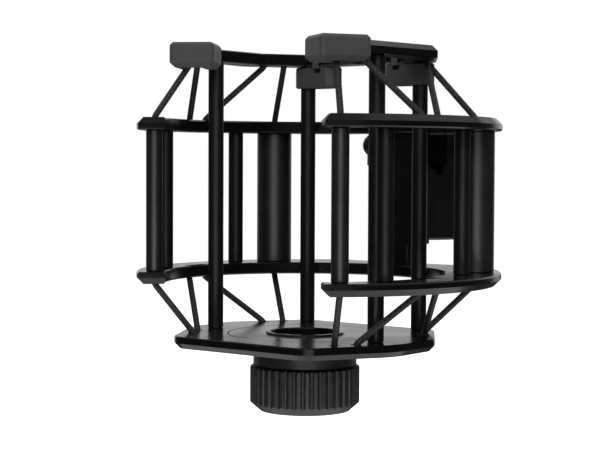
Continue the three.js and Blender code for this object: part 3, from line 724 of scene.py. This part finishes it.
def top_plate():
    """The U-shaped plate: bevelled outside and thinner under the caps."""
    edge, soft, inner_soft = 0.3, 3.0, 0.6
    outside = [on_arm(CAP_WALL, ARM_HALF), arm_edge_at(ARM_HALF, TOP_OUTER_X), *TOP_OUTER_BACK]
    inside = [*TOP_INNER_BACK, arm_edge_at(-ARM_HALF, TOP_INNER_X), on_arm(CAP_WALL, -ARM_HALF)]
    right = [(*outside[0], 0), *((x, y, soft) for x, y in outside[1:])]
    right_inside = [(x, y, inner_soft) for x, y in inside[:-1]] + [(*inside[-1], 0)]
    corners = [
        *right, *mirrored_corners(right), *mirrored_corners(right_inside), *right_inside,
    ]
    outer_edges = 2 * len(outside) - 1
    inner_edges = len(corners) - outer_edges

    def insets(outer, inner):
        return [outer] * outer_edges + [inner] * inner_edges

    z = TOP_PLATE_Z
    levels = [
        (z, insets(edge, edge)), (z + edge, insets(0, 0)),
        (z + PLATE_T - CRADLE_BEVEL, insets(0, 0)),
        (z + PLATE_T - edge, insets(CRADLE_BEVEL - edge, 0)),
        (z + PLATE_T, insets(CRADLE_BEVEL, edge)),
    ]
    piece = slab("top_plate_milled", corners, levels)
    top = z + PLATE_T
    along, across, heights = (-OVERCUT, CAP_L + 0.3), (-9, 9), (top - TONGUE_DROP, top + OVERCUT)
    tongues = [arm_box(along, across, heights, side) for side in SIDES.values()]
    carve(piece, [merged(tongues), *lace_cuts(z, top, -1)])
    stands_for(soften(piece, 0.15), "top_plate")


base_plate()
top_plate()


# ---------------------------------------------------------------- end caps and rear pads
def chamfered(spans, cut):
    """Corners of a rectangle, counter-clockwise, with its corners cut off."""
    (x0, x1), (y0, y1) = spans
    return [
        (x0 + cut, y0), (x1 - cut, y0), (x1, y0 + cut), (x1, y1 - cut),
        (x1 - cut, y1), (x0 + cut, y1), (x0, y1 - cut), (x0, y0 + cut),
    ]


def end_cap(side_name, side):
    """The cap pushed over an arm's end, with the arm's pocket and a slot below it."""
    bevel_below, bevel_above, corner = 1.5, 1.0, 1.3
    side_gap, end_gap, face_gap = 0.15, 0.2, 0.2
    slot_along, slot_across = (5, CAP_L + OVERCUT), (-2.4, 4.6)
    flat = [(0, -CAP_HALF), (CAP_L, -CAP_HALF), (CAP_L, CAP_HALF), (0, CAP_HALF)]
    ends = [on_arm(along, across, side) for along, across in flat]
    if side > 0:
        ends.reverse()
    z0, z1 = CAP_Z
    levels = [
        (z0, bevel_below), (z0 + bevel_below, 0), (z1 - bevel_above, 0), (z1, bevel_above),
    ]
    piece = slab("end_cap_moulded_" + side_name, [(x, y, corner) for x, y in ends], levels, 4)
    along = (CAP_WALL - end_gap, CAP_L + OVERCUT)
    across = (-ARM_HALF - side_gap, ARM_HALF + side_gap)
    roof = TOP_PLATE_Z + PLATE_T - TONGUE_DROP + face_gap
    carve(piece, [
        arm_box(along, across, (TOP_PLATE_Z - face_gap, roof), side),
        arm_box(slot_along, slot_across, (z0 - 1, TOP_PLATE_Z), side),
    ])
    stands_for(soften(piece, 0.6, 4), "end_cap_" + side_name)


def rear_pad(side_name, side):
    """The pad on a rear post, with a window under the lug that hooks over the plate's edge."""
    edge, corner_cut, post_hole_r = 0.5, 2.0, 2.8
    lug_half, window_half, foot_t, window_h, hook_h = 1.1, 1.3, 0.6, 1.5, 1.8
    inside = 0.02  # keeps joined faces from lying in one plane
    xs = sorted((side * PAD_X[0], side * PAD_X[1]))
    corners = [(x, y, edge) for x, y in chamfered((xs, PAD_Y), corner_cut)]
    z0, z1 = PAD_Z
    front = PAD_Y[0]
    tip = front - LUG_OUT
    levels = [(z0, edge), (z0 + edge, 0), (z1 - edge, 0), (z1, edge)]
    piece = slab("rear_pad_moulded_" + side_name, corners, levels, 3)
    middle = side * LUG_X
    lug = (middle - lug_half, middle + lug_half)
    hook = (lug[0] + inside, lug[1] - inside)
    window = (middle - window_half, middle + window_half)
    carve(piece, [
        box_piece("lug", lug, (tip, front + 0.3), (z1 - foot_t, z1 - inside)),
        box_piece("lug", hook, (tip + inside, front - LUG_OUT / 2), (z1 - 0.4, z1 + hook_h)),
    ], "UNION")
    post_x, post_y = REAR_CRADLE_POST
    carve(piece, [
        rod("cutter", side * post_x, post_y, post_hole_r, z0 - OVERCUT, z1 + OVERCUT),
        box_piece("cutter", window, (front - 1, front + 2), (z1 - foot_t - window_h, z1 - foot_t)),
    ])
    stands_for(soften(piece, 0.22, 3), "rear_pad_" + side_name)


for side_name, side in SIDES.items():
    end_cap(side_name, side)
    rear_pad(side_name, side)


# ---------------------------------------------------------------- seat, collar and knurled ring
def seat():
    """The disc with a low lip round its bore, and the tube with its bead below."""
    edge, lip_edge, lip_r = 0.25, 0.4, SEAT_TUBE_R + 0.1
    profile = [
        (SEAT_BORE_R, SEAT_BOTTOM), (SEAT_TUBE_R, SEAT_BOTTOM),
        (SEAT_TUBE_R, BEAD_Z - BEAD_HALF), (SEAT_TUBE_R + BEAD_OUT, BEAD_Z),
        (SEAT_TUBE_R, BEAD_Z + BEAD_HALF), (SEAT_TUBE_R, -SEAT_FLANGE_T),
        (SEAT_FLANGE_R, -SEAT_FLANGE_T), (SEAT_FLANGE_R, -edge), (SEAT_FLANGE_R - edge, 0),
        (lip_r, 0), (lip_r, SEAT_LIP_H - lip_edge), (lip_r - lip_edge, SEAT_LIP_H),
        (SEAT_BORE_R + lip_edge, SEAT_LIP_H), (SEAT_BORE_R, SEAT_LIP_H - lip_edge),
    ]
    piece = lathe("seat_turned", profile, steps=160, closed=True, rounding=0.08)
    stands_for(soften(piece, 0), "seat")


def collar():
    """The plain ring between the base plate and the knurled ring."""
    inner, outer, edge, ring_gap = SEAT_TUBE_R + 0.05, 16.4, 0.4, 0.3
    low, high = KNURL_TOP + ring_gap, -PLATE_T
    profile = [(inner, low), (outer - edge, low), (outer, low + edge), (outer, high), (inner, high)]
    piece = lathe("collar_turned", profile, steps=128, closed=True, rounding=0.08)
    stands_for(soften(piece, 0), "collar")


def knurled_ring():
    """The grip's flutes run out at the bevel; threads show in its bore."""
    inner = SEAT_TUBE_R + 0.25
    shelf = SEAT_BOTTOM - 0.4
    thread_r, pitch, thread_depth, thread_relief = 9.85, 0.9, 0.35, 0.4
    bevel_w, bevel_h, bevel_steps, edge = 3.1, 2.7, 10, 0.3
    bead_half, bead_depth = BEAD_HALF + 0.1, BEAD_OUT + 0.05
    mouth = thread_r + thread_relief
    profile = [(mouth, KNURL_BOTTOM), (KNURL_R - bevel_w, KNURL_BOTTOM)]
    for k in range(1, bevel_steps + 1):
        t = k / bevel_steps
        profile.append((KNURL_R - bevel_w * (1 - t), KNURL_BOTTOM + bevel_h * t))
    profile += [
        (KNURL_R, KNURL_TOP - edge), (KNURL_R - edge, KNURL_TOP), (inner, KNURL_TOP),
        (inner, BEAD_Z + bead_half), (inner + bead_depth, BEAD_Z), (inner, BEAD_Z - bead_half),
        (inner, shelf), (mouth, shelf),
    ]
    z = shelf - 0.3
    while z > KNURL_BOTTOM + pitch:
        profile += [(thread_r, z), (thread_r + thread_depth, z - pitch / 2)]
        z -= pitch
    flute_r, depth = 0.72, 0.6
    around = KNURL_R + flute_r - depth

    def fluted(angle, r):
        in_bore = r < inner + 1.2
        if in_bore:
            return r
        step = 2 * math.pi / KNURL_COUNT
        off = (angle + step / 2) % step - step / 2
        side = around * math.sin(off)
        if abs(side) >= flute_r:
            return r
        return min(r, around * math.cos(off) - math.sqrt(flute_r**2 - side**2))

    piece = lathe("knurled_ring_turned", profile, steps=KNURL_COUNT * 16, closed=True, shape=fluted)
    stands_for(soften(piece, 0, angle=40), "knurled_ring")


seat()
collar()
knurled_ring()


# ---------------------------------------------------------------- rear block, hinge and adapter
def rear_block():
    """The block between the rings, its narrower foot, and the fork that holds the barrel."""
    y0, y1, carrier_back = 47.5, 57.5, 60.0
    block_half, foot_half, block_bottom, foot_top, corner = 9.5, 7.0, 26.5, 28.0, 1.2
    inside = 0.02  # keeps joined faces from lying in one plane
    rise = (HINGE_Z - CHEEK_R, RING_GAP[1] - 0.5)

    def column(half, z0, z1):
        flat = [(-half, y0), (half, y0), (half, y1), (-half, y1)]
        return slab("column", [(x, y, corner) for x, y in flat], [(z0, 0), (z1, 0)], 5)

    piece = column(block_half, block_bottom, RING_GAP[1])
    piece.name = "rear_block_milled"
    parts = [
        column(foot_half, RING_GAP[0], foot_top),
        box_piece("carrier", (-CHEEK_X[1], CHEEK_X[1]), (y1 - 1, carrier_back), rise),
    ]
    for side in SIDES.values():
        span = sorted((side * CHEEK_X[0], side * CHEEK_X[1]))
        heights = (rise[0] + inside, rise[1] - inside)
        parts.append(box_piece("arm", span, (y1 - 0.8, HINGE_Y), heights))
        parts.append(hinge_rod("cheek", CHEEK_R, *span))
    carve(piece, parts, "UNION")
    carve(piece, [bolt_hole()])
    stands_for(soften(piece, 0.4, 3), "rear_block")


def stand_adapter():
    """The adapter's body with the barrel across its top and the stand's bore below."""
    r, edge = 11.4, 0.8
    low, high = ADAPTER_Z
    profile = [
        (0, low), (r - edge, low), (r, low + edge), (r, high - edge), (r - edge, high), (0, high),
    ]
    piece = lathe("stand_adapter_turned", profile, (0, HINGE_Y), 96)
    ys = (HINGE_Y - BARREL_R, HINGE_Y + BARREL_R)
    neck = box_piece("neck", (-BARREL_HALF, BARREL_HALF), ys, (high - 2, HINGE_Z))
    carve(piece, [neck, hinge_rod("barrel", BARREL_R, -BARREL_HALF, BARREL_HALF)], "UNION")
    carve(piece, [
        rod("cutter", 0, HINGE_Y, STAND_BORE_R, low - OVERCUT, low + STAND_BORE_DEPTH, 64),
        bolt_hole(),
    ])
    stands_for(soften(piece, 0.3, 2), "stand_adapter")


def thread_insert():
    """Brass insert with both threads and a driver's slot across its mouth."""
    low = ADAPTER_Z[0] + 0.4
    high, outer, inner = low + 12, 7.7, 4.3
    pitch, thread_depth, edge, lead_in = 1.0, 0.35, 0.3, 0.4
    slot_half, slot_depth = 0.8, 1.6
    profile = [(inner + edge, low), (outer - lead_in, low)]
    z = low + 0.5
    while z < high - 1:
        profile += [(outer, z), (outer - thread_depth, z + pitch / 2)]
        z += pitch
    profile += [(outer - edge, high), (inner + edge, high)]
    while z > low + 1:
        profile += [(inner, z), (inner + thread_depth, z - pitch / 2)]
        z -= pitch
    piece = lathe("thread_insert_turned", profile, (0, HINGE_Y), 72, closed=True)
    slot = (HINGE_Y - slot_half, HINGE_Y + slot_half)
    carve(piece, [box_piece("cutter", (-9, 9), slot, (low - 1, low + slot_depth))])
    stands_for(soften(piece, 0, angle=40), "thread_insert")


def clamp_knob():
    """The six-lobed knob, with the bolt's blind hole and a shallow dish outside."""
    x0, x1 = KNOB_X
    r, lobes, swing, edge, skin = 7.6, 6, 0.5, 0.8, 1.5
    dish_depth, dish_r, dish_floor_r = 0.5, r - 3.2, r - 3.8
    profile = [
        (0, x1 - skin), (BOLT_HOLE_R, x1 - skin), (BOLT_HOLE_R, x0), (r - edge, x0),
        (r, x0 + edge), (r, x1 - edge), (r - edge, x1), (dish_r, x1),
        (dish_floor_r, x1 - dish_depth), (0, x1 - dish_depth),
    ]

    def lobed(angle, radius):
        if radius < r - 2:
            return radius
        return radius - swing + swing * math.cos(lobes * angle)

    piece = hinge_lathe("clamp_knob_moulded", profile, 144, shape=lobed, rounding=0.25)
    stands_for(soften(piece, 0), "clamp_knob")


def cap_nut():
    """The domed nut on the bolt's far end."""
    end, start = CAP_NUT_X
    r, dome_h = 3.8, 3.0
    profile = []
    for degrees in range(0, 91, 9):
        angle = math.radians(degrees)
        profile.append((r * math.sin(angle), end + dome_h * (1 - math.cos(angle))))
    bore_end = end + dome_h
    profile += [(r, start), (BOLT_HOLE_R, start), (BOLT_HOLE_R, bore_end), (0, bore_end)]
    piece = hinge_lathe("cap_nut_turned", profile, 72)
    stands_for(soften(piece, 0), "cap_nut")


def washer(side_name, side):
    x0, x1 = sorted((side * WASHER_X[0], side * WASHER_X[1]))
    profile = [(BOLT_HOLE_R, x0), (WASHER_R, x0), (WASHER_R, x1), (BOLT_HOLE_R, x1)]
    piece = hinge_lathe("washer_stamped_" + side_name, profile, 64, closed=True, rounding=0.12)
    stands_for(soften(piece, 0), "washer_" + side_name)


def clamp_bolt():
    """The bolt, from inside the domed nut to inside the knob."""
    edge, x0, x1 = 0.3, CAP_NUT_X[0] + 3, KNOB_X[1] - 2
    profile = [
        (0, x0), (BOLT_R - edge, x0), (BOLT_R, x0 + edge),
        (BOLT_R, x1 - edge), (BOLT_R - edge, x1), (0, x1),
    ]
    stands_for(soften(hinge_lathe("clamp_bolt_turned", profile, 40), 0), "clamp_bolt")


rear_block()
stand_adapter()
thread_insert()
clamp_knob()
cap_nut()
clamp_bolt()
for side_name, side in SIDES.items():
    washer(side_name, side)


# ---------------------------------------------------------------- elastic cords
STRANDS = 8  # in each direction round the braid
BRAID_LAY = 4.2  # length in which a strand goes once round
BRAID_RELIEF = 0.1  # of the cord's radius
LIGHT_STRANDS = (0, 3, 5)


def lacing_stops(side, inner, far, up):
    """The way-points of one side's lacing between a ring and the cradle plate beyond it."""
    outer, near = inner + up * PLATE_T, far - up * PLATE_T
    in_post, bight, loop = inner - up * 2, inner + up * LOOP_DEPTH, far - up * LOOP_DEPTH
    a, b, c, d = CRADLE_HOLES
    front, back = RING_HOLES
    stops = [
        (END_POST, in_post), (END_POST, outer), (a, near), (a, loop), (b, loop), (b, near),
        (front, outer), (front, bight), (back, bight), (back, outer),
        (c, near), (c, loop), (d, loop), (d, near), (CORNER_POST, outer), (CORNER_POST, in_post),
    ]
    return [Vector((side * x, y, z)) for (x, y), z in stops]


def rounded_route(stops, reach=1.4, bend_steps=6, spacing=0.22):
    """Closely spaced points along the way-points, whose corners are rounded."""
    rough = [stops[0]]
    for before, here, after in zip(stops, stops[1:], stops[2:]):
        to_before, to_after = before - here, after - here
        start = here + to_before.normalized() * min(reach, to_before.length * 0.45)
        end = here + to_after.normalized() * min(reach, to_after.length * 0.45)
        for k in range(bend_steps + 1):
            t = k / bend_steps
            rough.append(start * (1 - t) ** 2 + here * 2 * t * (1 - t) + end * t * t)
    rough.append(stops[-1])
    route = [rough[0]]
    for a, b in zip(rough, rough[1:]):
        pieces = max(1, round((b - a).length / spacing))
        route += [a.lerp(b, k / pieces) for k in range(1, pieces + 1)]
    return route


def braid_height(around, run):
    """Relief and shade of the braid at a turn around and a length run along the cord."""
    turns = run / BRAID_LAY
    right = (around + turns) * STRANDS
    left = (around - turns) * STRANDS
    over = math.cos(math.pi * (right + left)) * math.cos(math.pi * (right - left)) > 0
    lane = right if over else left
    crown = math.cos(math.pi * ((lane % 1) - 0.5)) ** 0.8
    strand = math.floor(lane) % STRANDS
    shade = 1.0 if strand in LIGHT_STRANDS else 0.25
    return crown, shade if over else shade * 0.75


def braided_cord(name, stops):
    """A tube along the route whose skin is raised strand by strand, and whose strand attribute
    darkens towards each strand's edges as painted shade in the grooves.
    """
    sides = 32
    route = rounded_route(stops)
    points, faces, strand_tones_with_groove_shade = [], [], []
    run = 0.0
    across = None
    for i, here in enumerate(route):
        before, after = route[max(i - 1, 0)], route[min(i + 1, len(route) - 1)]
        way = (after - before).normalized()
        across = way.orthogonal() if across is None else across - way * across.dot(way)
        across.normalize()
        other = way.cross(across)
        if i:
            run += (here - before).length
        for k in range(sides):
            crown, shade = braid_height(k / sides, run)
            r = CORD_R * (1 - BRAID_RELIEF + BRAID_RELIEF * crown)
            angle = 2 * math.pi * k / sides
            p = here + (across * math.cos(angle) + other * math.sin(angle)) * r
            points.append(tuple(p))
            # Painted shade: each strand's tone falls to 35% at its edges, in the grooves between
            # strands.
            strand_tones_with_groove_shade.append(shade * (0.35 + 0.65 * crown))
    for i in range(len(route) - 1):
        for k in range(sides):
            j = (k + 1) % sides
            faces.append([i * sides + k, i * sides + j, (i + 1) * sides + j, (i + 1) * sides + k])
    last = (len(route) - 1) * sides
    faces.append(list(range(sides))[::-1])
    faces.append(list(range(last, last + sides)))
    piece = new_piece(name, points, faces)
    strand = piece.data.attributes.new("strand", "FLOAT", "POINT")
    strand.data.foreach_set("value", strand_tones_with_groove_shade)
    piece.data.polygons.foreach_set("use_smooth", [True] * len(piece.data.polygons))
    return piece


for side_name, side in SIDES.items():
    for level, inner, far, up in (
        ("upper", RING_GAP[1], TOP_PLATE_Z + PLATE_T, 1),
        ("lower", RING_GAP[0], -PLATE_T, -1),
    ):
        lacing = braided_cord(f"lacing_{level}_{side_name}", lacing_stops(side, inner, far, up))
        stands_for(lacing, f"cord_{level}_{side_name}", ride=False)
        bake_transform(lacing)


# ---------------------------------------------------------------- stage, light and camera
FLOOR_HALF, FLOOR_DROP = 6.0, 0.12  # metres; the drop leaves room for a stand

pale = Nodes("pale_floor", (0.92, 0.92, 0.92), 0.9)
pale.shader.inputs["Emission Color"].default_value = (1, 1, 1, 1)
pale.shader.inputs["Emission Strength"].default_value = 1.0
floor_mesh = bpy.data.meshes.new("floor")
h = FLOOR_HALF
floor_mesh.from_pydata([(-h, -h, 0), (h, -h, 0), (h, h, 0), (-h, h, 0)], [], [(0, 1, 2, 3)])
floor_mesh.materials.append(pale.finish(roughness=pale.spread(pale.noise(3, 2.0), 0.85, 0.95)))
floor = bpy.data.objects.new("floor", floor_mesh)
floor.location.z = cad_box[0].z - FLOOR_DROP
bpy.context.scene.collection.objects.link(floor)
floor.visible_diffuse = False
floor.visible_glossy = False

# The world is white where the camera sees it and a dim room to everything else.
world = bpy.data.worlds.new("studio")
bpy.context.scene.world = world
world.use_nodes = True
studio = world.node_tree
room = studio.nodes["Background"]
room.inputs["Color"].default_value = (1, 1, 1, 1)
room.inputs["Strength"].default_value = 0.05
backdrop = studio.nodes.new("ShaderNodeBackground")
backdrop.inputs["Color"].default_value = (1, 1, 1, 1)
seen = studio.nodes.new("ShaderNodeLightPath")
either = studio.nodes.new("ShaderNodeMixShader")
studio.links.new(seen.outputs["Is Camera Ray"], either.inputs["Fac"])
studio.links.new(room.outputs["Background"], either.inputs[1])
studio.links.new(backdrop.outputs["Background"], either.inputs[2])
studio.links.new(either.outputs["Shader"], studio.nodes["World Output"].inputs["Surface"])
bpy.context.scene.view_settings.view_transform = "Standard"

CAMERA_AT = at(301.25, -387.1, 53.72)
CAMERA_TURN, CAMERA_PITCH, CAMERA_ROLL = (math.radians(a) for a in (52.09, 2.27, 0.26))
CAMERA_LENS = 91.48

right = Vector((math.sin(CAMERA_TURN), math.cos(CAMERA_TURN), 0))
ahead = Vector((-math.cos(CAMERA_TURN), math.sin(CAMERA_TURN), 0))
look = ahead * math.cos(CAMERA_PITCH) - Vector((0, 0, math.sin(CAMERA_PITCH)))
lift = right.cross(look)
rolled_right = right * math.cos(CAMERA_ROLL) + lift * math.sin(CAMERA_ROLL)
rolled_up = lift * math.cos(CAMERA_ROLL) - right * math.sin(CAMERA_ROLL)
camera = bpy.data.objects.new("camera", bpy.data.cameras.new("camera"))
camera.data.lens = CAMERA_LENS
camera.data.sensor_width = 36
camera.data.clip_start = 0.01
stance = Matrix((rolled_right, rolled_up, -look)).transposed().to_4x4()
camera.matrix_world = Matrix.Translation(CAMERA_AT) @ stance
bpy.context.scene.collection.objects.link(camera)
bpy.context.scene.camera = camera


middle = at(0, 0, 34)


def softbox(name, angle, rise, distance, width, height, radiance):
    """A lit sheet that faces the object and that the camera doesn't see.

    It stands angle degrees round from the camera's side and rise degrees up. Sizes are metres.
    """
    turn, climb = math.radians(angle), math.radians(rise)
    level = -ahead * math.cos(turn) + right * math.sin(turn)
    place = middle + (level * math.cos(climb) + Vector((0, 0, math.sin(climb)))) * distance
    lamp = bpy.data.lights.new(name, "AREA")
    lamp.shape = "RECTANGLE"
    lamp.size, lamp.size_y, lamp.energy = width, height, radiance * math.pi * width * height
    lamp_object = bpy.data.objects.new(name, lamp)
    lamp_object.location = place
    lamp_object.rotation_euler = (middle - place).to_track_quat("-Z", "Y").to_euler()
    lamp_object.visible_camera = False
    bpy.context.scene.collection.objects.link(lamp_object)


softbox("front_box", 2, 34, 1.3, 1.2, 1.1, 1.9)
softbox("front_card", 2, -25, 1.3, 0.9, 0.6, 5.0)
softbox("left_side", -105, 45, 1.4, 1.6, 1.6, 0.3)
softbox("right_side", 105, 45, 1.4, 1.6, 1.6, 0.3)
softbox("back_box", 180, 52, 1.4, 1.4, 1.0, 1.6)
softbox("left_rim", -145, 5, 1.4, 0.4, 1.2, 0.6)
softbox("right_rim", 145, 5, 1.4, 0.4, 1.2, 0.6)
softbox("back_card", 180, 8, 1.5, 1.6, 0.5, 0.7)
softbox("top_box", 0, 88, 1.2, 1.0, 1.0, 0.15)
softbox("low_card", 0, -84, 1.0, 2.4, 2.4, 0.85)
